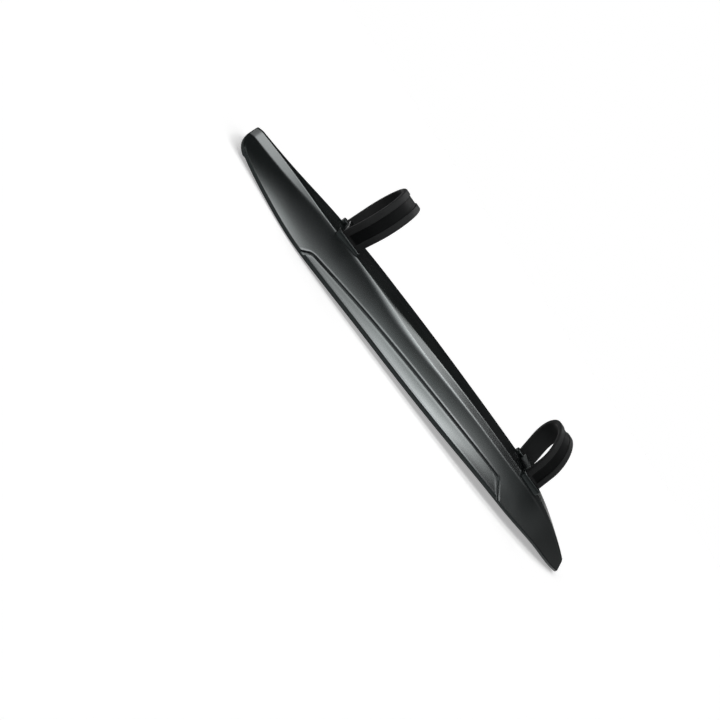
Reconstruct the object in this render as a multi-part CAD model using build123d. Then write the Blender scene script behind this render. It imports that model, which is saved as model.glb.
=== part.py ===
from build123d import *
import math
import os
from typing import NamedTuple

# Blade, overall. X runs from the lower end to the upper end, Y across, Z towards the tube.
blade_length = 461.0
wall = 3.0
upper_corner = 17.0
lower_corner = 3.0
lower_end_bow = 8.5

# Side view of the spine: straight at the head, one long gentle arch, and a tighter turn down at the tail.
head_x = 98.5
crown_radius = 3400.0
crown_x = -78.5
tail_radius = 300.0
tail_x = -126.5

# Cross-section: a flat spine, a bevel on each side of it, then a slightly hollow wing.
wing_hollow = 0.035
trim_margin = 8.0

# Raised panel along each long edge, and the groove that sets it off from the wing.
panel_line_y = 54.0
panel_line_slope = 0.027
panel_upper_x = 129.5
panel_upper_lean = 1.5
panel_lower_x = -97.5
panel_lower_lean = 0.47
panel_round = 4.5
panel_raise = 0.9
groove_width = 3.2
groove_depth = 1.2
groove_upper_x = 137.3
groove_upper_lean = 0.85
groove_lower_x = -101.7
groove_lower_lean = 0.4
groove_round = 3.5

# Down tube that the straps go round, straight and level, thinner towards the lower end.
tube_axis_above_crest = 23.5
upper_tube_radius = 25.2
lower_tube_radius = 20.9

# Rubber straps.
strap_width = 19.5
strap_thickness = 4.0
strap_groove_width = 8.8
strap_groove_depth = 1.5
strap_bend = 4.0
slot_y = 18.5
slot_clearance = 0.35
upper_strap_x = 122.7
upper_strap_lean = -0.075
lower_strap_x = -136.7
lower_strap_lean = 0.3
groove_end_above_spine = 4.0

# Raised collar round each slot.
collar_y = 19.0
collar_wall = 2.5
collar_height = 3.0
collar_round = 3.0
collar_root = 2.2

# Anchorage of the straps: a saddle above the spine, and a level pad with two square pegs below it.
saddle_half_width = 12.0
saddle_length = 17.0
pad_half_width = 13.0
pad_length = 26.0
pad_depth = 1.2
tab_gap = 0.1
tab_end_y = 3.5
peg_y = 9.0
peg_side = 5.0
peg_clearance = 0.2
peg_head_side = 7.6
peg_head_height = 1.6

half_length = blade_length / 2
end_spare = 1.0
far_out = 90.0


class Station(NamedTuple):
    """Half-widths of spine, bevel and blade at one place along X, and the slopes of wing and bevel."""

    x: float
    flat: float
    bevel: float
    edge: float
    wing_slope: float
    bevel_slope: float


stations = (
    Station(-half_length - end_spare, 9.8, 14.6, 24.0, 17.0, 15.0),
    Station(lower_end_bow - half_length, 10.9, 16.3, 31.5, 20.0, 15.0),
    Station(-173.5, 16.0, 24.1, 53.0, 24.0, 15.0),
    Station(lower_strap_x, 18.0, 28.4, 62.2, 24.8, 15.0),
    Station(-101.5, 18.2, 30.5, 66.7, 23.5, 15.0),
    Station(-48.5, 18.5, 31.7, 70.0, 23.3, 15.0),
    Station(51.5, 23.5, 35.0, 70.0, 26.0, 15.0),
    Station(upper_strap_x, 23.0, 24.3, 67.8, 22.5, 15.0),
    Station(151.5, 18.0, 21.5, 62.5, 21.7, 20.0),
    Station(191.5, 8.6, 18.0, 44.9, 22.3, 23.0),
    Station(half_length, 7.5, 16.5, 26.0, 31.0, 25.0),
)


class EdgeStrip(NamedTuple):
    """Strip along a long edge in plan: the place of its inner line, and how its two ends lean."""

    line_y: float
    upper_x: float
    upper_lean: float
    lower_x: float
    lower_lean: float
    corner_round: float


panel_strip = EdgeStrip(
    panel_line_y, panel_upper_x, panel_upper_lean, panel_lower_x, panel_lower_lean, panel_round
)
shoulder_line_y = panel_line_y - groove_width
shoulder_strip = EdgeStrip(
    shoulder_line_y, groove_upper_x, groove_upper_lean, groove_lower_x, groove_lower_lean, groove_round
)


class Strap(NamedTuple):
    """Where a strap leaves its slots, how far it leans along X as it rises, and its tube's radius."""

    x: float
    lean: float
    tube_radius: float


upper = Strap(upper_strap_x, upper_strap_lean, upper_tube_radius)
lower = Strap(lower_strap_x, lower_strap_lean, lower_tube_radius)


def spine_height(x):
    """Height of the spine's flat, measured from the crest of the long arch."""
    if x > head_x:
        return spine_height(head_x) - (head_x - crown_x) / crown_radius * (x - head_x)
    if x >= tail_x:
        return -((x - crown_x) ** 2) / (2 * crown_radius)
    step = tail_x - x
    slope = (tail_x - crown_x) / crown_radius
    turn = tail_radius - math.sqrt(tail_radius**2 - step**2)
    return spine_height(tail_x) + slope * step - turn


def flipped(point):
    return (-point[0], point[1])


def raised(point, height):
    return (point[0], point[1] + height)


def layer_section(station, bottom, top):
    """Closed cross-section between two heights over the blade's upper surface, wider than the blade."""
    outer_y = station.edge + trim_margin
    flat_z = spine_height(station.x)
    bevel_z = flat_z - math.tan(math.radians(station.bevel_slope)) * (station.bevel - station.flat)
    outer_z = bevel_z - math.tan(math.radians(station.wing_slope)) * (outer_y - station.bevel)
    flat = (station.flat, flat_z)
    bevel = (station.bevel, bevel_z)
    outer = (outer_y, outer_z)
    hollow = (
        (outer_y + station.bevel) / 2 - wing_hollow * (bevel_z - outer_z),
        (outer_z + bevel_z) / 2 - wing_hollow * (outer_y - station.bevel),
    )
    edges = [Line(raised(outer, bottom), raised(outer, top))]
    edges.append(Line(raised(flipped(outer), bottom), raised(flipped(outer), top)))
    for height in (bottom, top):
        points = [raised(p, height) for p in (flat, bevel, hollow, outer)]
        edges.append(Line(flipped(points[0]), points[0]))
        for side in (points, [flipped(p) for p in points]):
            edges.append(Line(side[0], side[1]))
            edges.append(ThreePointArc(*side[1:]))
    return Plane.YZ.offset(station.x) * make_face(edges)


def layer(bottom, top):
    """Solid that follows the blade's upper surface between two heights over it."""
    return loft([layer_section(s, bottom, top) for s in stations])


def blade_outline():
    """Plan view of the blade: long curved edges, a bowed lower end, and rounded corners."""
    near = Spline(*[(s.x, s.edge) for s in stations[1:]])
    far = Spline(*[(s.x, -s.edge) for s in stations[1:]])
    lower_end = ThreePointArc(near @ 0, (-half_length, 0), far @ 0)
    outline = make_face([near, far, lower_end, Line(near @ 1, far @ 1)])
    outline = fillet(outline.vertices().filter_by(lambda v: v.X > 0), upper_corner)
    return fillet(outline.vertices().filter_by(lambda v: v.X < stations[2].x), lower_corner)


def prism(face):
    return extrude(face, far_out, both=True)


def strip_face(strip):
    """Plan view of a strip on the +Y side, running out past the blade's edge."""
    upper_y = strip.line_y + panel_line_slope * strip.upper_x
    lower_y = strip.line_y + panel_line_slope * strip.lower_x
    corners = [
        (strip.upper_x + strip.upper_lean * (far_out - upper_y), far_out),
        (strip.upper_x, upper_y),
        (strip.lower_x, lower_y),
        (strip.lower_x - strip.lower_lean * (far_out - lower_y), far_out),
    ]
    face = make_face(Polyline(*corners, close=True))
    return fillet(face.vertices().sort_by(Axis.Y)[:2], strip.corner_round)


def blade_sheet():
    """The sheet trimmed to its outline, with a groove round each panel and the panel's raised face."""
    outline = blade_outline()
    panel = strip_face(panel_strip)
    groove = strip_face(shoulder_strip) - panel
    pad = panel & outline
    sheet = layer(-wall, 0) & prism(outline)
    deep = layer(-groove_depth, wall)
    raised_skin = layer(-wall / 2, panel_raise)
    for face in (groove, mirror(groove, Plane.XZ)):
        sheet -= deep & prism(face)
    for face in (pad, mirror(pad, Plane.XZ)):
        sheet += raised_skin & prism(face)
    return sheet


def tab_level(strap):
    """Height of the middle of the strap's ends, which lie against the pad below the spine."""
    return spine_height(strap.x) - wall - pad_depth - tab_gap - strap_thickness / 2


def strap_edge(strap, shift):
    """One long side of the strap's section, at a distance outwards from its middle line."""
    radius = strap.tube_radius + strap_thickness / 2 + shift
    slot_z = spine_height(strap.x) - wall / 2
    rise = tube_axis_above_crest - slot_z
    middle_radius = strap.tube_radius + strap_thickness / 2
    run = math.atan2(rise, -slot_y) - math.asin(middle_radius / math.hypot(rise, slot_y))
    touch = (radius * math.sin(run), tube_axis_above_crest - radius * math.cos(run))
    tab_z = tab_level(strap) - shift
    corner = (touch[0] - (touch[1] - tab_z) / math.tan(run), tab_z)
    tab_end = (tab_end_y, tab_z)
    near = FilletPolyline(tab_end, corner, touch, radius=strap_bend + shift)
    far = FilletPolyline(flipped(tab_end), flipped(corner), flipped(touch), radius=strap_bend + shift)
    top = ThreePointArc(touch, (0, tube_axis_above_crest + radius), flipped(touch))
    return [near, top, far], tab_end


def strap_section(strap, inner, outer):
    """Section of a strap between two distances from its middle line."""
    inner_edges, inner_end = strap_edge(strap, inner)
    outer_edges, outer_end = strap_edge(strap, outer)
    ends = [Line(inner_end, outer_end), Line(flipped(inner_end), flipped(outer_end))]
    return Plane.YZ.offset(strap.x) * make_face(inner_edges + outer_edges + ends)


def strap_band(strap, section, width):
    """The section run along X and cut to the strap's width, leaning along X as it rises."""
    lean_angle = math.degrees(math.atan(strap.lean))
    slab = Rot(0, lean_angle, 0) * Box(width, 2 * far_out, 4 * far_out)
    return extrude(section, far_out, both=True) & (Pos(strap.x, 0, spine_height(strap.x)) * slab)


def above(height):
    return Pos(0, 0, height + 2 * far_out) * Box(8 * far_out, 4 * far_out, 4 * far_out)


def strap_slots(strap):
    half = strap_thickness / 2 + slot_clearance
    section = strap_section(strap, -half, half)
    through = strap_band(strap, section, strap_width + 2 * slot_clearance)
    spine_z = spine_height(strap.x)
    pad = Pos(strap.x, 0, spine_z) * Box(2 * pad_length, 2 * pad_half_width, 4 * far_out)
    return (through & above(spine_z - 3 * wall)) - above(spine_z + 2 * wall) - pad


def slot_collars(strap):
    """Two rounded rims that stand up round the strap where it comes through the blade."""
    room = 2 * (slot_clearance + collar_wall)
    rim = RectangleRounded(strap_width + room, strap_thickness + room, collar_round)
    collar = extrude(rim, collar_root + collar_height)
    bottom = spine_height(strap.x) - collar_root
    return [Pos(strap.x, y, bottom) * collar for y in (collar_y, -collar_y)]


def peg_places(strap):
    x = strap.x + strap.lean * (tab_level(strap) - spine_height(strap.x))
    return [(x, peg_y), (x, -peg_y)]


def upright(x, y, bottom, top, side):
    return Pos(x, y, (bottom + top) / 2) * Box(side, side, top - bottom)


def block(x, length, half_width, bottom, top):
    return Pos(x, 0, (bottom + top) / 2) * Box(length, 2 * half_width, top - bottom)


def strap_anchorage(strap):
    """Saddle that the tube lies in, and the pad and pegs that hold the strap's ends."""
    spine_z = spine_height(strap.x)
    tube = Pos(strap.x, 0, tube_axis_above_crest) * Rot(0, 90, 0) * Cylinder(strap.tube_radius, far_out)
    saddle_top = tube_axis_above_crest - math.sqrt(strap.tube_radius**2 - saddle_half_width**2)
    saddle_bottom = spine_z - wall / 2
    pad_bottom = spine_z - wall - pad_depth
    saddle = block(strap.x, saddle_length, saddle_half_width, saddle_bottom, saddle_top)
    anchorage = saddle - tube + block(strap.x, pad_length, pad_half_width, pad_bottom, saddle_bottom)
    head_top = tab_level(strap) - strap_thickness / 2 - peg_clearance
    for x, y in peg_places(strap):
        anchorage += upright(x, y, head_top, saddle_bottom, peg_side)
        anchorage += upright(x, y, head_top - peg_head_height, head_top, peg_head_side)
    return anchorage


def blade():
    body = blade_sheet()
    for strap in (upper, lower):
        body = body + strap_anchorage(strap) + slot_collars(strap) - strap_slots(strap)
    return body


def strap_solid(strap):
    half = strap_thickness / 2
    band = strap_band(strap, strap_section(strap, -half, half), strap_width)
    recess = strap_section(strap, half - strap_groove_depth, half + strap_groove_depth)
    channel = strap_band(strap, recess, strap_groove_width)
    band -= channel & above(spine_height(strap.x) + groove_end_above_spine)
    tab_z = tab_level(strap)
    hole_side = peg_side + 2 * peg_clearance
    for x, y in peg_places(strap):
        band -= upright(x, y, tab_z - strap_thickness, tab_z + strap_thickness, hole_side)
    return band


blade_body = blade()
floor_lift = Pos(0, 0, -blade_body.bounding_box().min.Z)
nodes = {
    "blade": blade_body,
    "upper_strap": strap_solid(upper),
    "lower_strap": strap_solid(lower),
}
os.makedirs("parts", exist_ok=True)
for name, shape in nodes.items():
    export_step(floor_lift * shape, f"parts/{name}.step")
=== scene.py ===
import math

import bmesh
import bpy
import numpy as np
from mathutils import Matrix, Vector


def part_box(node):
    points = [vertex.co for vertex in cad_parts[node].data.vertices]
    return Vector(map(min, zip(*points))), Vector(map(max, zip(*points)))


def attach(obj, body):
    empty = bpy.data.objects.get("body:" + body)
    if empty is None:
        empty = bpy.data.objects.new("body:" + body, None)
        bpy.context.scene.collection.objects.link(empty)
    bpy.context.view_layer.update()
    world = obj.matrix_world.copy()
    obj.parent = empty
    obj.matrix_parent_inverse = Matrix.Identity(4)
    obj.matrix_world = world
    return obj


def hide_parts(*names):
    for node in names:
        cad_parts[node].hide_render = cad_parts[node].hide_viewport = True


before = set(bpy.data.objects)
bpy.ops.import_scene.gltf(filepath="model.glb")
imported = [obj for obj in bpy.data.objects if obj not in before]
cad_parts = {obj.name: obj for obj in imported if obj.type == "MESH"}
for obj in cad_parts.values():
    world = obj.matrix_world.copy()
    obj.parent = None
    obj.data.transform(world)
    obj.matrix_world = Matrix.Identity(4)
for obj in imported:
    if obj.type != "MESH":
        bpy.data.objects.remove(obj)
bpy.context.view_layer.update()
mm = 0.001
print("frame loaded:", sorted(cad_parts))

# lengths in these dictionaries are in millimetres, angles in degrees
straps = dict(
    upper=dict(node="upper_strap", x=122.7, lean=-0.075, tubeRadius=25.2),
    lower=dict(node="lower_strap", x=-136.7, lean=0.3, tubeRadius=20.9),
)
strapShape = dict(
    width=19.5, thick=4.0, channelWidth=8.8, channelDepth=0.9, edgeRound=1.4, channelRound=0.4,
    axisAboveCrest=23.5, slotY=18.5, bend=4.0, tabEnd=3.5, tabGap=0.1, channelStart=4.0, channelFade=2.0,
    innerRound=0.5, floorRound=0.3, channelLeast=0.02, pegHole=5.4,
    pathStep=0.9, tabPoints=8, bendPoints=14, loopPoints=46,
)
bladeShape = dict(
    length=461.0, wall=3.0, rimRound=0.9,
    archRadius=3400.0, archX=-78.5, headX=98.5, tailRadius=300.0, tailX=-126.5,
    hollow=0.035, spare=8.0, beadDrop=0.1, beadOut=1.4, beadHalf=1.0, beadEnd=40.0, beadFade=40.0,
    upperCorner=17.0, upperTurn=15.2, lowerCorner=1.3, lowerTurn=0.85, endBow=10.2, bowPower=1.4,
    endBlend=60.0, lipLength=3.5, lipSlope=15.0, lipSoften=1.0,
    # place along X, half-widths of spine, bevel and blade, then the slopes of wing and bevel
    stations=(
        (-231.5, 9.8, 14.6, 23.2, 17.0, 15.0), (-222.0, 10.9, 16.3, 30.4, 20.0, 15.0),
        (-173.5, 16.0, 24.1, 53.0, 24.0, 15.0), (-136.7, 18.0, 28.4, 62.2, 24.8, 15.0),
        (-101.5, 18.2, 30.5, 66.7, 23.5, 15.0), (-48.5, 18.5, 31.7, 70.0, 23.3, 15.0),
        (51.5, 23.5, 35.0, 70.0, 26.0, 15.0), (122.7, 23.0, 24.3, 67.8, 22.5, 15.0),
        (151.5, 18.0, 21.5, 63.4, 21.7, 20.0), (191.5, 6.0, 18.0, 46.3, 22.3, 18.4),
        (230.5, 2.0, 16.5, 26.0, 31.0, 16.0),
    ),
    # place along X, then how far the creases beside spine and wing are rounded
    creases=(
        (-230.0, 1.2, 1.2), (-60.0, 1.3, 1.4), (0.0, 2.0, 2.0), (60.0, 4.5, 4.5), (110.0, 1.6, 3.0),
        (230.0, 1.2, 1.2),
    ),
)
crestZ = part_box("upper_strap")[1].z / mm - (
    strapShape["axisAboveCrest"] + straps["upper"]["tubeRadius"] + strapShape["thick"]
)


# natural cubic through given points, used for everything that runs along the blade
def curveThrough(xs, ys):
    xs, ys = np.array(xs, float), np.array(ys, float)
    step = np.diff(xs)
    size = len(xs)
    matrix = np.eye(size)
    right = np.zeros(size)
    for i in range(1, size - 1):
        matrix[i, i - 1:i + 2] = step[i - 1], 2 * (step[i - 1] + step[i]), step[i]
        right[i] = 6 * ((ys[i + 1] - ys[i]) / step[i] - (ys[i] - ys[i - 1]) / step[i - 1])
    bend = np.linalg.solve(matrix, right)

    def value(x):
        x = np.clip(np.asarray(x, float), xs[0], xs[-1])
        i = np.clip(np.searchsorted(xs, x) - 1, 0, size - 2)
        a, b = xs[i + 1] - x, x - xs[i]
        h = step[i]
        cubic = (bend[i] * a**3 + bend[i + 1] * b**3) / (6 * h)
        return cubic + (ys[i] / h - bend[i] * h / 6) * a + (ys[i + 1] / h - bend[i + 1] * h / 6) * b

    return value


stationColumns = list(zip(*bladeShape["stations"]))
flatAt, bevelAt, edgeAt, fallAt, slopeAt = [curveThrough(stationColumns[0], c) for c in stationColumns[1:]]
creaseColumns = list(zip(*bladeShape["creases"]))


def flatCrease(x):
    return np.interp(x, creaseColumns[0], creaseColumns[1])


def bevelCrease(x):
    return np.interp(x, creaseColumns[0], creaseColumns[2])


# side view of the spine: straight at the head, a long arch, and a tighter turn down at the tail
def spineHeight(x):
    b = bladeShape
    x = np.asarray(x, float)
    archSpan = np.clip(x, b["tailX"], b["headX"]) - b["archX"]
    arch = -(archSpan**2) / (2 * b["archRadius"])
    head = (b["headX"] - b["archX"]) / b["archRadius"] * np.clip(x - b["headX"], 0, None)
    step = np.clip(b["tailX"] - x, 0, None)
    turn = b["tailRadius"] - np.sqrt(b["tailRadius"] ** 2 - step**2)
    tail = (b["tailX"] - b["archX"]) / b["archRadius"] * step - turn
    return arch - head + tail


def softRamp(t, r):
    return np.where(t < -r, 0.0, np.where(t > r, t, (t + r) ** 2 / (4 * r)))


def softStep(t, r):
    k = np.clip((t + r) / (2 * r), 0, 1)
    return k * k * (3 - 2 * k)


# plain upper surface: spine, bevel and hollow wing with rounded creases
def skinHeight(x, y):
    b = bladeShape
    y = np.abs(y)
    flat, bevel, edge = flatAt(x), bevelAt(x), edgeAt(x)
    bevelTan = np.tan(np.radians(slopeAt(x)))
    fallTan = np.tan(np.radians(fallAt(x)))
    reach = edge + b["spare"] - bevel
    sag = b["hollow"] * reach * (1 + fallTan**2)
    t = softRamp(y - bevel, bevelCrease(x))
    k = t / reach
    wing = fallTan * t + 4 * sag * k * (1 - k) - bevelTan * t
    beadShare = np.clip((b["beadEnd"] + b["beadFade"] - x) / b["beadFade"], 0, 1)
    bead = b["beadDrop"] * beadShare * softStep(y - flat - b["beadOut"], b["beadHalf"])
    return crestZ + spineHeight(x) - bevelTan * softRamp(y - flat, flatCrease(x)) - wing - bead


panelShape = dict(
    lineY=54.6, lineSlope=0.036, upperX=136.5, upperLean=0.7, lowerX=-97.5, lowerLean=0.47, corner=1.5,
    innerRaise=0.55, innerRise=0.005, outerRise=0.035, width=15.0, edgeRound=0.4,
    rollWidth=2.4, rollDrop=0.13, rollSoften=0.3, endTurn=0.4, brimWidth=1.5, brimDrop=0.08,
)
grooveShape = dict(
    width=3.2, depth=1.2, upperX=137.3, upperLean=0.85, lowerX=-101.4, lowerLean=0.4, corner=2.0,
    edgeRound=0.4, lipHeight=0.23, lipWidth=2.1, lipSoften=0.3, endTurn=0.5,
)


# signed distance in plan from the border of a strip along the long edge, and from the strip's lower end,
# positive inside
def stripDistance(x, y, lineY, s):
    y = np.abs(y)
    slope = panelShape["lineSlope"]
    upperY, lowerY = lineY + slope * s["upperX"], lineY + slope * s["lowerX"]
    line = (y - lineY - slope * x) / math.hypot(1, slope)
    upper = (s["upperX"] + s["upperLean"] * (y - upperY) - x) / math.hypot(1, s["upperLean"])
    lower = (x - s["lowerX"] + s["lowerLean"] * (y - lowerY)) / math.hypot(1, s["lowerLean"])
    r = s["corner"]
    rounded = [
        np.where((line < r) & (end < r), r - np.hypot(r - line, r - end), np.minimum(line, end))
        for end in (upper, lower)
    ]
    return np.minimum(*rounded), lower


# distance in plan from the long edge, inwards
def inRim(x, y):
    return edgeAt(x) - bladeShape["rimRound"] - np.abs(y)


# height of panel, groove and lip over the plain surface, and where the groove is
def panelRelief(x, y):
    p, g = panelShape, grooveShape
    inPanel, panelEnd = stripDistance(x, y, p["lineY"], p)
    inGroove, grooveEnd = stripDistance(x, y, p["lineY"] - g["width"], g)
    panel = softStep(inPanel, p["edgeRound"])
    groove = softStep(inGroove, g["edgeRound"]) - panel
    lip = softRamp(np.minimum(inGroove, 0) / g["lipWidth"] + 1, g["lipSoften"])
    lip = lip * (1 - softStep(inGroove, g["edgeRound"]))
    # at the lower end the lip falls, and the roll rises
    lip = lip * (1 - 2 * softStep(g["endTurn"] - grooveEnd, g["endTurn"]))
    out = np.clip(np.abs(y) - p["lineY"] - p["lineSlope"] * x, 0, None)
    crown = p["innerRise"] * out + (p["outerRise"] - p["innerRise"]) / (2 * p["width"]) * out**2
    roll = p["rollDrop"] * softRamp(1 - inPanel / p["rollWidth"], p["rollSoften"])
    roll = roll * (1 - 2 * softStep(p["rollWidth"] + p["endTurn"] - panelEnd, p["endTurn"]))
    brim = p["brimDrop"] * softRamp(1 - inRim(x, y) / p["brimWidth"], p["rollSoften"])
    top = panel * (p["innerRaise"] + crown - roll - brim)
    return top - g["depth"] * groove + g["lipHeight"] * lip, groove


gridShape = dict(
    # where the rows' spacing changes along X, and the spacing from end to end
    lowerEnd=12.0, upperEnd=24.0, places=(-132.0, -106.0, -93.0, -68.0, 105.0, 131.0, 144.0, 170.0),
    steps=(1.2, 4.0, 2.5, 0.3, 2.5, 4.0, 2.5, 0.3, 2.5, 3.5, 1.5),
    # rows lean beside the panel's ends: place along X, lean, half-width where it starts
    leans=((-100.0, -0.435, 49.0), (137.0, 0.78, 57.0)), leanReach=22.0, leanFade=10.0, leanSoften=1.0,
    # lines along the blade
    flatLines=6, flatEnd=0.9, creaseSteps=(-1.0, -0.6, -0.2, 0.2, 0.6, 1.0), beadStep=0.4, beadSpare=0.2,
    bevelSteps=(0.25, 0.5, 0.75), wingLines=9, wingSpan=(0.1, 0.95), lipSpare=0.8,
    grooveStep=0.3, grooveSpare=0.6, grooveEnd=1.7, panelLines=12, panelSpan=(0.08, 0.95),
    rimStart=2.2, rimSteps=(2.1, 1.8, 1.5, 1.2, 0.9, 0.45, 0.0), gap=0.01, rounds=4,
)


def rowPlaces():
    half = bladeShape["length"] / 2 - bladeShape["rimRound"]
    ends = (-half, -half + gridShape["lowerEnd"], *gridShape["places"], half - gridShape["upperEnd"], half)
    places = [
        np.linspace(a, b, max(2, round((b - a) / step)), endpoint=False)
        for a, b, step in zip(ends[:-1], ends[1:], gridShape["steps"])
    ]
    return np.append(np.concatenate(places), half)


# half-widths of the grid's lines across one side at the given places, from the spine outwards
def lineOffsets(x):
    b, p, g, n = bladeShape, panelShape, grooveShape, gridShape
    held = np.clip(x, g["lowerX"], g["upperX"])
    heldBevel = bevelAt(held)
    heldSpan = edgeAt(held) - b["rimRound"] - heldBevel
    flat, bevel, edge = flatAt(x), bevelAt(x), edgeAt(x) - b["rimRound"]
    share = (p["lineY"] + p["lineSlope"] * held - heldBevel) / heldSpan
    middle = bevel + share * (edge - bevel)
    scale = (edge - bevel) / heldSpan
    lines = [flat * k for k in np.linspace(0, n["flatEnd"], n["flatLines"])]
    lines += [flat + flatCrease(x) * k for k in n["creaseSteps"]]
    beadEnd = b["beadOut"] + b["beadHalf"] + n["beadSpare"]
    lines += [flat + k for k in np.arange(n["beadStep"], beadEnd, n["beadStep"])]
    lines += [flat + (bevel - flat) * k for k in n["bevelSteps"]]
    lines += [bevel + bevelCrease(x) * k for k in n["creaseSteps"]]
    innerEnd = middle - (g["width"] + g["lipWidth"] + n["lipSpare"]) * scale
    wingStart = bevel + bevelCrease(x)
    lines += [wingStart + (innerEnd - wingStart) * k for k in np.linspace(*n["wingSpan"], n["wingLines"])]
    grooveStart = -g["width"] - g["lipWidth"] - n["grooveSpare"]
    lines += [middle + k * scale for k in np.arange(grooveStart, n["grooveEnd"], n["grooveStep"])]
    outerStart = middle + n["grooveEnd"] * scale
    outerSpan = edge - n["rimStart"] * scale - outerStart
    lines += [outerStart + outerSpan * k for k in np.linspace(*n["panelSpan"], n["panelLines"])]
    lines += [edge - k * scale for k in n["rimSteps"]]
    lines = np.sort(np.array(lines), axis=0)
    gap = n["gap"] * np.arange(len(lines))[:, None]
    return np.minimum(np.maximum.accumulate(lines - gap, axis=0) + gap, edge)


# how far the end's outline stands back from its middle at half-width y
def upperEndBack(y, reach):
    r, turn = bladeShape["upperCorner"], bladeShape["upperTurn"]
    return r - np.sqrt(r**2 - np.clip(y - reach + turn, 0, turn) ** 2)


def lowerEndBack(y, reach):
    r = bladeShape["lowerCorner"]
    turn = bladeShape["lowerTurn"] * r
    corner = r - np.sqrt(r**2 - np.clip(y - reach + turn, 0, turn) ** 2)
    return bladeShape["endBow"] * (y / reach) ** bladeShape["bowPower"] + corner


# how far the rows by the panel's ends lean along X at half-width y, so that they follow those ends
def rowShift(place, y):
    n = gridShape
    shift = np.zeros(len(y))
    for middle, lean, start in n["leans"]:
        share = softStep(n["leanReach"] - abs(place - middle), n["leanFade"])
        shift += lean * share * softRamp(y - start, n["leanSoften"])
    return shift


# plan positions of the grid: rows run across, and bend near the ends to follow the outline
def planGrid():
    b = bladeShape
    half = b["length"] / 2 - b["rimRound"]
    xs, ys = [], []
    for place in rowPlaces():
        upperBlend = max(0.0, 1 - (half - place) / b["endBlend"]) ** 2
        lowerBlend = max(0.0, 1 - (half + place) / b["endBlend"]) ** 2
        y = lineOffsets(np.full(1, place))[:, 0]
        x = np.full(len(y), place)
        for _ in range(gridShape["rounds"]):
            x = place - upperBlend * upperEndBack(y, y[-1]) + lowerBlend * lowerEndBack(y, y[-1])
            x = x + rowShift(place, y)
            y = lineOffsets(x).diagonal()
        xs.append(x)
        ys.append(y)
    return np.array(xs), np.array(ys)


def meshFrom(name, points, faces):
    mesh = bpy.data.meshes.new(name)
    mesh.from_pydata([Vector(p) * mm for p in points], [], faces)
    mesh.update()
    piece = bpy.data.objects.new(name, mesh)
    bpy.context.scene.collection.objects.link(piece)
    return piece


# share of the blade's groove and the straps' channel at each point; the material paints these recesses
# darker, as painted shade
def storeRecessShade(piece, shares):
    recessShadeMask = piece.data.attributes.new("channel", "FLOAT", "POINT")
    recessShadeMask.data.foreach_set("value", shares)


def closeUp(piece):
    work = bmesh.new()
    work.from_mesh(piece.data)
    bmesh.ops.remove_doubles(work, verts=work.verts, dist=1e-6)
    bmesh.ops.dissolve_degenerate(work, dist=1e-6, edges=work.edges)
    bmesh.ops.recalc_face_normals(work, faces=work.faces)
    work.to_mesh(piece.data)
    work.free()


def bladeSheet():
    b = bladeShape
    planX, planY = planGrid()
    x = np.concatenate([planX[:, :0:-1], planX], axis=1)
    y = np.concatenate([-planY[:, :0:-1], planY], axis=1)
    rows, lines = x.shape
    back = b["length"] / 2 - b["rimRound"] - rowPlaces()[:, None]
    lip = math.tan(math.radians(b["lipSlope"])) * softRamp(b["lipLength"] - back, b["lipSoften"])
    skin = skinHeight(x, y) - lip
    relief, groove = panelRelief(x, y)
    top = np.stack([x, y, skin + relief], axis=-1).reshape(-1, 3)
    under = np.stack([x, y, skin - b["wall"]], axis=-1).reshape(-1, 3)
    index = np.arange(rows * lines).reshape(rows, lines)
    count = rows * lines
    quads = [index[:-1, :-1], index[1:, :-1], index[1:, 1:], index[:-1, 1:]]
    quads = np.stack([q.ravel() for q in quads], axis=1)
    faces = quads.tolist() + (quads[:, ::-1] + count).tolist()
    # rim: a rounded strip round the whole border
    loop = np.concatenate([index[0, :-1], index[:-1, -1], index[-1, :0:-1], index[:0:-1, 0]])
    border = top[loop]
    along = np.roll(border, -1, axis=0) - np.roll(border, 1, axis=0)
    outward = np.stack([-along[:, 1], along[:, 0], np.zeros(len(loop))], axis=1)
    outward /= np.linalg.norm(outward, axis=1)[:, None]
    points = [top, under]
    rings = [loop]
    start = 2 * count
    r = b["rimRound"]
    for level, turn, source in [(1, a, top) for a in (30, 60, 90)] + [(-1, a, under) for a in (90, 60, 30)]:
        angle = math.radians(turn)
        drop = np.array([0, 0, level * r * (1 - math.cos(angle))])
        points.append(source[loop] + outward * r * math.sin(angle) - drop)
        rings.append(np.arange(start, start + len(loop)))
        start += len(loop)
    rings.append(loop + count)
    for ring, following in zip(rings[:-1], rings[1:]):
        strip = [ring, following, np.roll(following, -1), np.roll(ring, -1)]
        faces += np.stack(strip, axis=1).tolist()
    piece = meshFrom("mudguardBlade", np.concatenate(points), faces)
    storeRecessShade(piece, np.append(groove.ravel(), np.zeros(start - count)))
    closeUp(piece)
    return piece


blade = bladeSheet()
print("blade sheet:", len(blade.data.vertices), "points")


anchorShape = dict(
    saddleHalf=12.0, saddleLength=17.0, padHalf=13.0, padLength=26.0, padDepth=1.2,
    pegY=9.0, pegSide=5.0, pegRoot=0.3, headSide=7.6, headHeight=1.6, clearance=0.2, soften=0.5,
    slotClearance=0.35, slotInset=0.2, slotTop=7.0, hollowHalf=40.0,
    collarY=19.0, collarWall=2.5, collarHeight=3.0, collarCorner=3.0, collarRoot=2.2, collarSoften=0.9,
)


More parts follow.
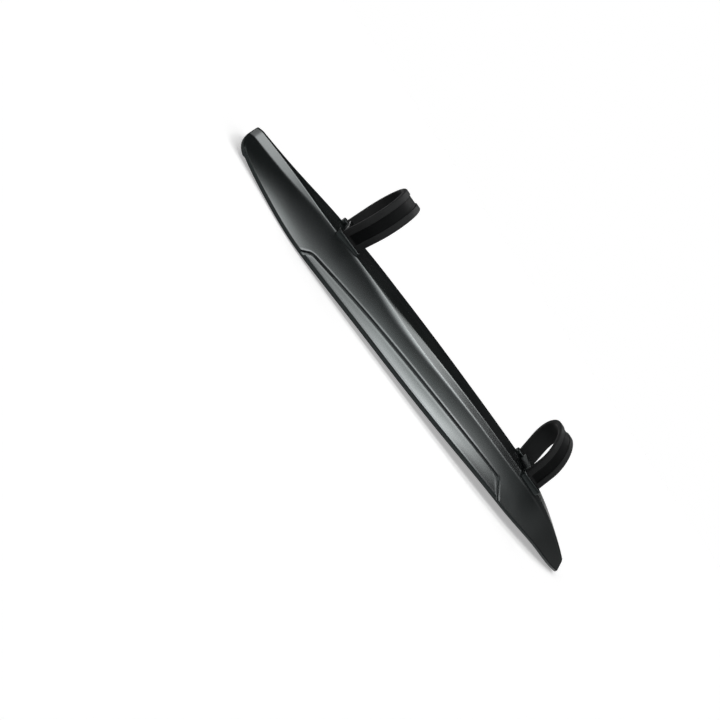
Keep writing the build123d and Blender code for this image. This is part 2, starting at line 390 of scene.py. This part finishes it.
# middle line of a strap in its own plane, from the spine side of one tab round to the other
def strapPath(strap, shift=0.0):
    s = strapShape
    slotZ = float(spineHeight(strap["x"])) - bladeShape["wall"] / 2
    rise = s["axisAboveCrest"] - slotZ
    middle = strap["tubeRadius"] + s["thick"] / 2
    run = math.atan2(rise, -s["slotY"]) - math.asin(middle / math.hypot(rise, s["slotY"]))
    radius = middle + shift
    touch = np.array([radius * math.sin(run), s["axisAboveCrest"] - radius * math.cos(run)])
    tabZ = tabLevel(strap) - shift
    corner = np.array([touch[0] - (touch[1] - tabZ) / math.tan(run), tabZ])
    bend = s["bend"] + shift
    cut = bend / math.tan((math.pi - run) / 2) if run < math.pi else bend
    first = corner - np.array([cut, 0])
    centre = first + np.array([0, bend])
    angles = np.linspace(-math.pi / 2, run - math.pi / 2, s["bendPoints"])
    arc = centre + bend * np.stack([np.cos(angles), np.sin(angles)], axis=1)
    tab = np.linspace([s["tabEnd"], tabZ], first, s["tabPoints"], endpoint=False)
    runPoints = max(4, int(np.linalg.norm(touch - arc[-1]) / s["pathStep"]))
    straight = np.linspace(arc[-1], touch, runPoints)[1:]
    sweep = np.linspace(run - math.pi / 2, math.pi / 2, s["loopPoints"])[1:]
    over = np.stack([radius * np.cos(sweep), s["axisAboveCrest"] + radius * np.sin(sweep)], axis=1)
    near = np.concatenate([tab, arc, straight, over])
    far = near[-2::-1] * np.array([-1, 1])
    return np.concatenate([near, far])


def tabLevel(strap):
    s, a = strapShape, anchorShape
    padLow = float(spineHeight(strap["x"])) - bladeShape["wall"] - a["padDepth"]
    return padLow - s["tabGap"] - s["thick"] / 2


# outline of the strap's section: distance outwards from the inner face, and place across the width,
# then which of its points are on the channel's floor
def strapSection(depth):
    s = strapShape
    half, thick, r, c = s["width"] / 2, s["thick"], s["edgeRound"], s["channelRound"]
    channel, small, foot = s["channelWidth"] / 2, s["innerRound"], s["floorRound"]
    turns = np.radians(np.linspace(0, 90, 6))
    points = [(0.0, 0.0), (0.0, half * 0.5)]
    points += [(small - small * math.cos(t), half - small + small * math.sin(t)) for t in turns[:4]]
    points += [(thick - r + r * math.sin(t), half - r + r * math.cos(t)) for t in turns]
    points += [(thick, half - r - (half - r - channel - c) * 0.5)]
    points += [(thick - c + c * math.cos(t), channel + c - c * math.sin(t)) for t in turns[:5]]
    rib = len(points)
    for t in turns[::2]:
        points.append((thick - depth + foot - foot * math.sin(t), channel - foot + foot * math.cos(t)))
    points += [(thick - depth, channel * 0.4)]
    mirrored = [(a, -b) for a, b in points[:0:-1]]
    place = np.arange(2 * len(points) - 1)
    return np.array(points + mirrored), (place >= rib) & (place < 2 * len(points) - rib)


def strapBand(name, strap):
    s = strapShape
    middle = strapPath(strap)
    along = np.gradient(middle, axis=0)
    along /= np.linalg.norm(along, axis=1)[:, None]
    outward = np.stack([along[:, 1], -along[:, 0]], axis=1)
    spine = float(spineHeight(strap["x"]))
    rings, recessShadeShares = [], []
    for point, out, high in zip(middle, outward, middle[:, 1] - spine - s["channelStart"]):
        inChannel = float(softStep(np.array(high - s["channelFade"] / 2), s["channelFade"] / 2))
        section, floor = strapSection(max(s["channelLeast"], s["channelDepth"] * inChannel))
        # share of the channel floor, which the material paints darker as painted shade of the recess
        recessShadeShares.append(floor * inChannel)
        plane = point + out * (section[:, :1] - s["thick"] / 2)
        across = section[:, 1] * math.hypot(1, strap["lean"])
        x = strap["x"] + across + strap["lean"] * (plane[:, 1] - spine)
        rings.append(np.column_stack([x, plane[:, 0], plane[:, 1] + crestZ]))
    points = np.array(rings)
    count, around = points.shape[:2]
    index = np.arange(count * around).reshape(count, around)
    quads = [index[:-1], np.roll(index, -1, 1)[:-1], np.roll(index, -1, 1)[1:], index[1:]]
    faces = np.stack([q.ravel() for q in quads], axis=1).tolist()
    faces += [index[0, ::-1].tolist(), index[-1].tolist()]
    piece = meshFrom(name, points.reshape(-1, 3), faces)
    storeRecessShade(piece, np.concatenate(recessShadeShares))
    closeUp(piece)
    return piece


bands = {key: strapBand(key + "Strap", strap) for key, strap in straps.items()}
print("straps:", {k: len(b.data.vertices) for k, b in bands.items()})


def blockTool(name, low, high, soften=0.0):
    work = bmesh.new()
    bmesh.ops.create_cube(work, size=1.0)
    size = Vector(high) - Vector(low)
    bmesh.ops.scale(work, vec=size * mm, verts=work.verts)
    bmesh.ops.translate(work, vec=(Vector(low) + Vector(high)) / 2 * mm, verts=work.verts)
    if soften:
        bmesh.ops.bevel(work, geom=work.edges[:], offset=soften * mm, segments=3, profile=0.5, affect="EDGES")
    return toolFrom(name, work)


def squareTool(name, x, y, side, low, high, soften=0.0):
    return blockTool(name, (x - side / 2, y - side / 2, low), (x + side / 2, y + side / 2, high), soften)


def discTool(name, centre, axis, radius, half):
    work = bmesh.new()
    size = dict(radius1=radius * mm, radius2=radius * mm, depth=2 * half * mm)
    bmesh.ops.create_cone(work, cap_ends=True, segments=64, **size)
    turn = Vector((0, 0, 1)).rotation_difference(Vector(axis)).to_matrix().to_4x4()
    work.transform(Matrix.Translation(Vector(centre) * mm) @ turn)
    return toolFrom(name, work)


def toolFrom(name, work):
    mesh = bpy.data.meshes.new(name)
    bmesh.ops.recalc_face_normals(work, faces=work.faces)
    work.to_mesh(mesh)
    work.free()
    tool = bpy.data.objects.new(name, mesh)
    bpy.context.scene.collection.objects.link(tool)
    return tool


def joined(tools):
    work = bmesh.new()
    for tool in tools:
        work.from_mesh(tool.data)
        bpy.data.objects.remove(tool)
    return toolFrom("joinedTools", work)


def combine(piece, tool, operation):
    step = piece.modifiers.new("combine", "BOOLEAN")
    step.operation = operation
    step.solver = "EXACT"
    step.object = tool
    bpy.context.view_layer.update()
    evaluated = piece.evaluated_get(bpy.context.evaluated_depsgraph_get())
    merged = bpy.data.meshes.new_from_object(evaluated)
    piece.modifiers.clear()
    piece.data = merged
    bpy.data.objects.remove(tool)


# raised rim round one slot, a rounded block with a softened top
def collarTool(name, x, y, spine):
    a, s = anchorShape, strapShape
    room = a["slotClearance"] + a["collarWall"]
    halfX, halfY, soft = s["width"] / 2 + room, s["thick"] / 2 + room, a["collarSoften"]
    levels = [(spine - a["collarRoot"], 0.0)]
    for turn in np.radians((0, 30, 60, 90)):
        z = spine + a["collarHeight"] - soft * (1 - math.sin(turn))
        levels.append((z, soft * (1 - math.cos(turn))))
    work = bmesh.new()
    rings = []
    for z, inset in levels:
        corner = a["collarCorner"] - inset
        ring = []
        for quarter in range(4):
            for step in np.radians(np.linspace(0, 90, 7)):
                angle = quarter * math.pi / 2 + step
                sideX = 1 if quarter in (0, 3) else -1
                sideY = 1 if quarter < 2 else -1
                px = x + sideX * (halfX - a["collarCorner"]) + corner * math.cos(angle)
                py = y + sideY * (halfY - a["collarCorner"]) + corner * math.sin(angle)
                ring.append(work.verts.new(Vector((px, py, z)) * mm))
        rings.append(ring)
    for low, high in zip(rings[:-1], rings[1:]):
        for k in range(len(low)):
            work.faces.new((low[k - 1], low[k], high[k], high[k - 1]))
    work.faces.new(rings[0][::-1])
    work.faces.new(rings[-1])
    return toolFrom(name, work)


# saddle and slot rims above the spine, level pad and pegs below it
def anchorage(key, strap):
    a, s, b = anchorShape, strapShape, bladeShape
    spine = crestZ + float(spineHeight(strap["x"]))
    axis = crestZ + s["axisAboveCrest"]
    x, wall = strap["x"], b["wall"]
    top = axis - math.sqrt(strap["tubeRadius"] ** 2 - a["saddleHalf"] ** 2)
    low, high = x - a["saddleLength"] / 2, x + a["saddleLength"] / 2
    saddle = blockTool(
        key + "Saddle", (low, -a["saddleHalf"], spine - wall / 2), (high, a["saddleHalf"], top), a["soften"]
    )
    hollow = discTool(key + "Hollow", (x, 0, axis), (1, 0, 0), strap["tubeRadius"], a["hollowHalf"])
    combine(saddle, hollow, "DIFFERENCE")
    padLow = spine - wall - a["padDepth"]
    low, high = x - a["padLength"] / 2, x + a["padLength"] / 2
    pad = blockTool(
        key + "Pad", (low, -a["padHalf"], padLow), (high, a["padHalf"], spine - wall / 2), a["soften"]
    )
    tabZ = tabLevel(strap)
    headTop = crestZ + tabZ - s["thick"] / 2 - a["clearance"]
    pegX = x + strap["lean"] * (tabZ - float(spineHeight(x)))
    combine(saddle, pad, "UNION")
    for side in (-1, 1):
        y, headLow = side * a["pegY"], headTop - a["headHeight"]
        peg = squareTool("peg", pegX, y, a["pegSide"], headTop - a["pegRoot"], spine - wall / 2)
        head = squareTool("head", pegX, y, a["headSide"], headLow, headTop, a["soften"])
        combine(peg, head, "UNION")
        combine(saddle, peg, "UNION")
        combine(saddle, collarTool("collar", x, side * a["collarY"], spine), "UNION")
    return saddle


# slot cutter: the strap's own run with room round it
def slotTools(key, strap):
    a, s = anchorShape, strapShape
    room = s["thick"] / 2 + a["slotClearance"]
    inner, outer = strapPath(strap, -room), strapPath(strap, room)
    spine = float(spineHeight(strap["x"]))
    half = (s["width"] / 2 + a["slotClearance"]) * math.hypot(1, strap["lean"])
    nearest, highest = a["padHalf"] + a["slotInset"], spine + a["slotTop"]
    tools = []
    for side in (-1, 1):
        kept = [
            (i, o) for i, o in zip(inner, outer)
            if i[0] * side > nearest and o[1] < highest and i[1] < highest
        ]
        work = bmesh.new()
        rings = []
        for i, o in kept:
            ring = []
            for (y, z), across in ((i, -half), (i, half), (o, half), (o, -half)):
                x = strap["x"] + across + strap["lean"] * (z - spine)
                ring.append(work.verts.new(Vector((x, y, z + crestZ)) * mm))
            rings.append(ring)
        for first, second in zip(rings[:-1], rings[1:]):
            for k in range(4):
                work.faces.new((first[k], first[(k + 1) % 4], second[(k + 1) % 4], second[k]))
        work.faces.new(rings[0][::-1])
        work.faces.new(rings[-1])
        tools.append(toolFrom(f"{key}Slot{side}", work))
    return tools


anchors = [anchorage(key, strap) for key, strap in straps.items()]
combine(blade, joined(anchors), "UNION")
slots = [tool for key, strap in straps.items() for tool in slotTools(key, strap)]
combine(blade, joined(slots), "DIFFERENCE")
for key, strap in straps.items():
    tabZ = tabLevel(strap)
    pegX = strap["x"] + strap["lean"] * (tabZ - float(spineHeight(strap["x"])))
    low, high = crestZ + tabZ - strapShape["thick"], crestZ + tabZ + strapShape["thick"]
    pegY, hole = anchorShape["pegY"], strapShape["pegHole"]
    holes = [squareTool("hole", pegX, side * pegY, hole, low, high) for side in (-1, 1)]
    combine(bands[key], joined(holes), "DIFFERENCE")
    bands[key].visible_glossy = False  # the blade's gloss shows the light alone
    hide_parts(strap["node"])
    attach(bands[key], "root")
closeUp(blade)
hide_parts("blade")
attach(blade, "root")
print("blade with anchorage:", len(blade.data.vertices), "points")


# fine moulded grain and slow drift of tone, shared by plastic and rubber
def grainGroup():
    group = bpy.data.node_groups.new("mouldedGrain", "ShaderNodeTree")
    sockets = group.interface
    for name, value in (("Grain Size", 0.35), ("Drift Size", 40.0)):
        socket = sockets.new_socket(name, in_out="INPUT", socket_type="NodeSocketFloat")
        socket.default_value = value
    for name in ("Grain", "Drift"):
        sockets.new_socket(name, in_out="OUTPUT", socket_type="NodeSocketFloat")
    nodes, links = group.nodes, group.links
    inside = nodes.new("NodeGroupInput")
    outside = nodes.new("NodeGroupOutput")
    place = nodes.new("ShaderNodeTexCoord")
    for name, detail in (("Grain", 3.0), ("Drift", 2.0)):
        scale = nodes.new("ShaderNodeMath")
        scale.operation = "DIVIDE"
        scale.inputs[0].default_value = 1 / mm
        links.new(inside.outputs[name + " Size"], scale.inputs[1])
        noise = nodes.new("ShaderNodeTexNoise")
        noise.inputs["Detail"].default_value = detail
        links.new(place.outputs["Object"], noise.inputs["Vector"])
        links.new(scale.outputs[0], noise.inputs["Scale"])
        links.new(noise.outputs["Fac"], outside.inputs[name])
    return group


# channel: the colour of the blade's groove and the straps' channel, painted darker than the faces beside them
# as painted shade of the recess; channelRough: their polish
finishes = dict(
    shell=dict(
        base=(0.0058, 0.0072, 0.0073), light=(0.0085, 0.0103, 0.0104), rough=(0.18, 0.23), grain=0.4,
        drift=45.0, bump=0.005, specular=0.5, tint=(0.87, 1.0, 1.0), channel=(0.0034, 0.0042, 0.0042),
        channelRough=0.25,
    ),
    strap=dict(
        base=(0.022, 0.0225, 0.023), light=(0.032, 0.0325, 0.033), rough=(0.52, 0.64), grain=0.5,
        drift=9.0, bump=0.09, specular=0.14, tint=(0.94, 1.0, 1.0), channel=(0.0035, 0.0035, 0.0038),
        channelRough=0.6,
    ),
)
grainDepth = 0.2  # height of the grain at full strength
driftSpan = (0.3, 0.7)  # part of the drift over which the polish changes
smoothAngle = 38.0
grain = grainGroup()


def finish(name):
    f = finishes[name]
    material = bpy.data.materials.new(name + "Finish")
    material.use_nodes = True
    nodes, links = material.node_tree.nodes, material.node_tree.links
    surface = nodes["Principled BSDF"]
    surface.inputs["Specular IOR Level"].default_value = f["specular"]
    surface.inputs["Specular Tint"].default_value = (*f["tint"], 1)
    texture = nodes.new("ShaderNodeGroup")
    texture.node_tree = grain
    texture.inputs["Grain Size"].default_value = f["grain"]
    texture.inputs["Drift Size"].default_value = f["drift"]
    tone = nodes.new("ShaderNodeMix")
    tone.data_type = "RGBA"
    tone.inputs["A"].default_value = (*f["base"], 1)
    tone.inputs["B"].default_value = (*f["light"], 1)
    links.new(texture.outputs["Drift"], tone.inputs["Factor"])
    rough = nodes.new("ShaderNodeMapRange")
    rough.inputs["From Min"].default_value, rough.inputs["From Max"].default_value = driftSpan
    rough.inputs["To Min"].default_value, rough.inputs["To Max"].default_value = f["rough"]
    links.new(texture.outputs["Drift"], rough.inputs["Value"])
    # the blade's groove and the straps' channel are painted darker than the faces beside them, as painted
    # shade of the recess, and differ in polish
    recessShadeMask = nodes.new("ShaderNodeAttribute")
    recessShadeMask.attribute_name = "channel"
    for kind, plain, inside, target in (
        ("RGBA", tone.outputs["Result"], (*f["channel"], 1), "Base Color"),
        ("FLOAT", rough.outputs["Result"], f["channelRough"], "Roughness"),
    ):
        mix = nodes.new("ShaderNodeMix")
        mix.data_type = kind
        sockets = [socket for socket in mix.inputs if socket.enabled]
        links.new(recessShadeMask.outputs["Fac"], sockets[0])
        links.new(plain, sockets[1])
        sockets[2].default_value = inside
        links.new([socket for socket in mix.outputs if socket.enabled][0], surface.inputs[target])
    bump = nodes.new("ShaderNodeBump")
    bump.inputs["Strength"].default_value = f["bump"]
    bump.inputs["Distance"].default_value = grainDepth * mm
    links.new(texture.outputs["Grain"], bump.inputs["Height"])
    links.new(bump.outputs["Normal"], surface.inputs["Normal"])
    return material


plastic, rubber = finish("shell"), finish("strap")
for piece, material in [(blade, plastic)] + [(band, rubber) for band in bands.values()]:
    piece.data.materials.clear()
    piece.data.materials.append(material)
    piece.data.shade_smooth()
    piece.data.set_sharp_from_angle(angle=math.radians(smoothAngle))
print("finishes:", list(finishes))

stage = dict(floorSize=8.0, floorColour=0.8, floorGlow=0.4)  # floor in metres
# soft lights behind the part: heights in degrees with brightness, directions in degrees (0 straight behind,
# positive towards +X) with a share of it, and how far the light sinks for each degree towards +X
lights = dict(
    main=dict(
        heights=(
            (0.0, 0.01), (30.0, 0.01), (37.0, 0.03), (42.0, 0.9), (45.0, 8.0), (48.0, 11.0), (53.0, 6.0),
            (58.0, 5.5), (63.0, 3.0), (68.0, 0.8), (75.0, 0.1), (90.0, 0.1),
        ),
        sides=(
            (-180.0, 0.0), (-90.0, 0.0), (-60.0, 0.05), (-50.0, 0.2), (-40.0, 0.7), (-30.0, 1.4),
            (-20.0, 0.8), (-10.0, 0.55), (0.0, 0.35), (12.0, 0.25), (30.0, 0.15), (90.0, 0.1), (180.0, 0.0),
        ),
        slant=0.18, slantFrom=-30.0,
    ),
    upperEnd=dict(
        heights=((35.0, 0.0), (41.0, 3.0), (48.0, 3.0), (55.0, 0.0)),
        sides=((-5.0, 0.0), (2.0, 1.0), (10.0, 1.0), (17.0, 0.0)), slant=0.0, slantFrom=0.0,
    ),
    lowerEnd=dict(
        heights=((4.0, 0.0), (14.0, 0.12), (30.0, 0.13), (38.0, 0.32), (46.0, 0.1), (52.0, 0.0)),
        sides=((-78.0, 0.0), (-62.0, 1.0), (-48.0, 1.0), (-40.0, 0.0)), slant=0.0, slantFrom=0.0,
    ),
)
# even light from the camera's side, by height, and where along Y it starts, from 0 far behind to 1 in front
fillStart = ((0.47, 0.0), (0.6, 1.0))
fillHeights = ((0.0, 0.15), (20.0, 0.2), (35.0, 0.45), (55.0, 2.0), (90.0, 2.0))


def floorPlane():
    work = bmesh.new()
    bmesh.ops.create_grid(work, x_segments=1, y_segments=1, size=stage["floorSize"] / 2)
    floor = toolFrom("floor", work)
    material = bpy.data.materials.new("paleFloor")
    material.use_nodes = True
    nodes, links = material.node_tree.nodes, material.node_tree.links
    nodes.clear()
    out = nodes.new("ShaderNodeOutputMaterial")
    colour = nodes.new("ShaderNodeBsdfDiffuse")
    colour.inputs["Color"].default_value = (*(stage["floorColour"],) * 3, 1)
    path = nodes.new("ShaderNodeLightPath")
    glow = nodes.new("ShaderNodeEmission")
    level = nodes.new("ShaderNodeMath")
    level.operation = "MULTIPLY"
    level.inputs[1].default_value = stage["floorGlow"]
    links.new(path.outputs["Is Camera Ray"], level.inputs[0])
    links.new(level.outputs[0], glow.inputs["Strength"])
    both = nodes.new("ShaderNodeAddShader")
    links.new(colour.outputs[0], both.inputs[0])
    links.new(glow.outputs[0], both.inputs[1])
    links.new(both.outputs[0], out.inputs["Surface"])
    floor.data.materials.append(material)


# brightness read from a value through a smooth row of stops
def levelRamp(nodes, links, source, low, high, stops):
    share = nodes.new("ShaderNodeMapRange")
    share.inputs["From Min"].default_value = low
    share.inputs["From Max"].default_value = high
    links.new(source, share.inputs["Value"])
    ramp = nodes.new("ShaderNodeValToRGB")
    ramp.color_ramp.interpolation = "EASE"
    elements = ramp.color_ramp.elements
    while len(elements) < len(stops):
        elements.new(0.5)
    for element, (position, level) in zip(elements, stops):
        element.position = position
        element.color = (level, level, level, 1)
    links.new(share.outputs["Result"], ramp.inputs[0])
    return ramp.outputs["Color"]


def worldMath(nodes, links, operation, *values):
    node = nodes.new("ShaderNodeMath")
    node.operation = operation
    for socket, value in zip(node.inputs, values):
        if isinstance(value, float):
            socket.default_value = value
        else:
            links.new(value, socket)
    return node.outputs[0]


# studio world: soft lights behind, an even fill in front, and plain white to the camera
def studioWorld():
    world = bpy.data.worlds.new("studio")
    bpy.context.scene.world = world
    world.use_nodes = True
    nodes, links = world.node_tree.nodes, world.node_tree.links
    nodes.clear()
    out = nodes.new("ShaderNodeOutputWorld")
    place = nodes.new("ShaderNodeTexCoord")
    split = nodes.new("ShaderNodeSeparateXYZ")
    links.new(place.outputs["Generated"], split.inputs[0])
    back = worldMath(nodes, links, "MULTIPLY", split.outputs["Y"], -1.0)
    around = worldMath(nodes, links, "ARCTAN2", split.outputs["X"], back)
    height = worldMath(nodes, links, "ARCSINE", split.outputs["Z"])
    near = levelRamp(nodes, links, split.outputs["Y"], -1.0, 1.0, fillStart)
    fill = levelRamp(nodes, links, height, 0.0, math.pi / 2, [(h / 90, v) for h, v in fillHeights])
    total = worldMath(nodes, links, "MULTIPLY", near, fill)
    for lamp in lights.values():
        turned = worldMath(nodes, links, "SUBTRACT", around, math.radians(lamp["slantFrom"]))
        slanted = worldMath(nodes, links, "MULTIPLY_ADD", turned, lamp["slant"], height)
        stops = [(h / 90, v) for h, v in lamp["heights"]]
        band = levelRamp(nodes, links, slanted, 0.0, math.pi / 2, stops)
        stops = [((a + 180) / 360, v) for a, v in lamp["sides"]]
        side = levelRamp(nodes, links, around, -math.pi, math.pi, stops)
        total = worldMath(nodes, links, "MULTIPLY_ADD", band, side, total)
    studio = nodes.new("ShaderNodeBackground")
    links.new(total, studio.inputs["Strength"])
    white = nodes.new("ShaderNodeBackground")
    white.inputs["Color"].default_value = (1, 1, 1, 1)
    path = nodes.new("ShaderNodeLightPath")
    pick = nodes.new("ShaderNodeMixShader")
    links.new(path.outputs["Is Camera Ray"], pick.inputs[0])
    links.new(studio.outputs[0], pick.inputs[1])
    links.new(white.outputs[0], pick.inputs[2])
    links.new(pick.outputs[0], out.inputs["Surface"])


floorPlane()
studioWorld()
print("stage and light set")

# the photograph's view: the pixel and depth of the reference point, and how the blade lies in the picture
view = dict(
    width=720, focal=736.0, point=(-8.5, 0.0, -1.1), pixel=(446.0, 361.0), depth=617.0,
    elevation=11.0, recede=16.0, roll=52.5, sensor=36.0, clip=(0.01, 100.0),
)


def addCamera():
    v = view
    centre = v["width"] / 2
    recede, roll, elevation = [math.radians(v[k]) for k in ("recede", "roll", "elevation")]
    down = Vector((math.cos(roll) * math.cos(recede), math.sin(roll) * math.cos(recede), math.sin(recede)))
    ray = Vector(((v["pixel"][0] - centre) / v["focal"], (v["pixel"][1] - centre) / v["focal"], 1.0))
    side = down.cross(ray).normalized()
    level = down.cross(side)
    up = side * math.cos(elevation) + level * math.sin(elevation)
    across = level * math.cos(elevation) - side * math.sin(elevation)
    axes = Matrix((-down, across, up))
    point = Vector(v["point"]) + Vector((0, 0, crestZ))
    eye = point - axes @ (ray * v["depth"])
    rotation = Matrix((axes.col[0], -axes.col[1], -axes.col[2])).transposed()
    data = bpy.data.cameras.new("camera")
    data.sensor_width = v["sensor"]
    data.lens = v["focal"] / v["width"] * data.sensor_width
    data.clip_start, data.clip_end = v["clip"]
    camera = bpy.data.objects.new("camera", data)
    bpy.context.scene.collection.objects.link(camera)
    camera.matrix_world = Matrix.Translation(eye * mm) @ rotation.to_4x4()
    bpy.context.scene.camera = camera


addCamera()
bpy.context.scene.view_settings.view_transform = "Standard"
